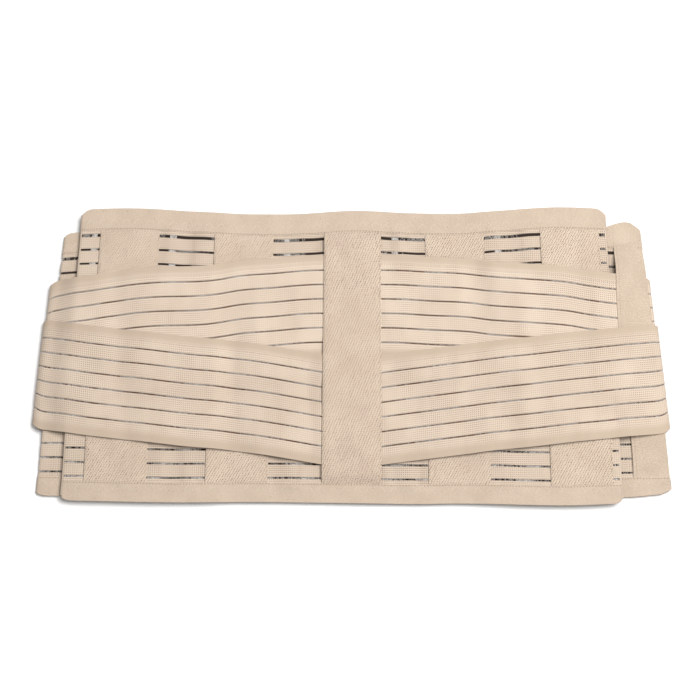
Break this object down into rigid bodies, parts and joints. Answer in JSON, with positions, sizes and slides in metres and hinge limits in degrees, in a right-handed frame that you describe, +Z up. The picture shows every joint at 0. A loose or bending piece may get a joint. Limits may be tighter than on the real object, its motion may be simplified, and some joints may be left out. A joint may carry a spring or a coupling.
{
  "type": "maternity support belt",
  "caption": "Beige breathable elastic lumbar support belt, fastened and lying folded flat with its back up, with stay covers and elastic side straps.",
  "frame": {"origin": "middle of the belt's outline, on the surface that it lies on", "axes": "+X along the belt from its left to its right side as seen from above with the back up, +Y from its lower to its upper edge, +Z up out of the surface"},
  "size_m": [0.5464, 0.2596, 0.0183],
  "materials": {
    "elastic": "matte ribbed elastic with open lines",
    "hem_tape": "matte stitched stretch tape",
    "twill": "matte twill weave",
    "brushed": "soft brushed loop cloth"
  },
  "bodies": {
    "root": {"body_elastic": "elastic", "top_hem": "hem_tape", "bottom_hem": "hem_tape", "stay_cover_left_inner": "twill", "stay_cover_left_outer": "twill", "stay_cover_right_inner": "twill", "stay_cover_right_outer": "twill", "spine_panel": "twill", "upper_strap_left": "elastic", "lower_strap_left": "elastic", "upper_strap_right": "elastic", "lower_strap_right": "elastic", "guide_panel": "brushed", "front_panel_right": "brushed", "front_panel_left": "brushed"}
  },
  "joints": []
}
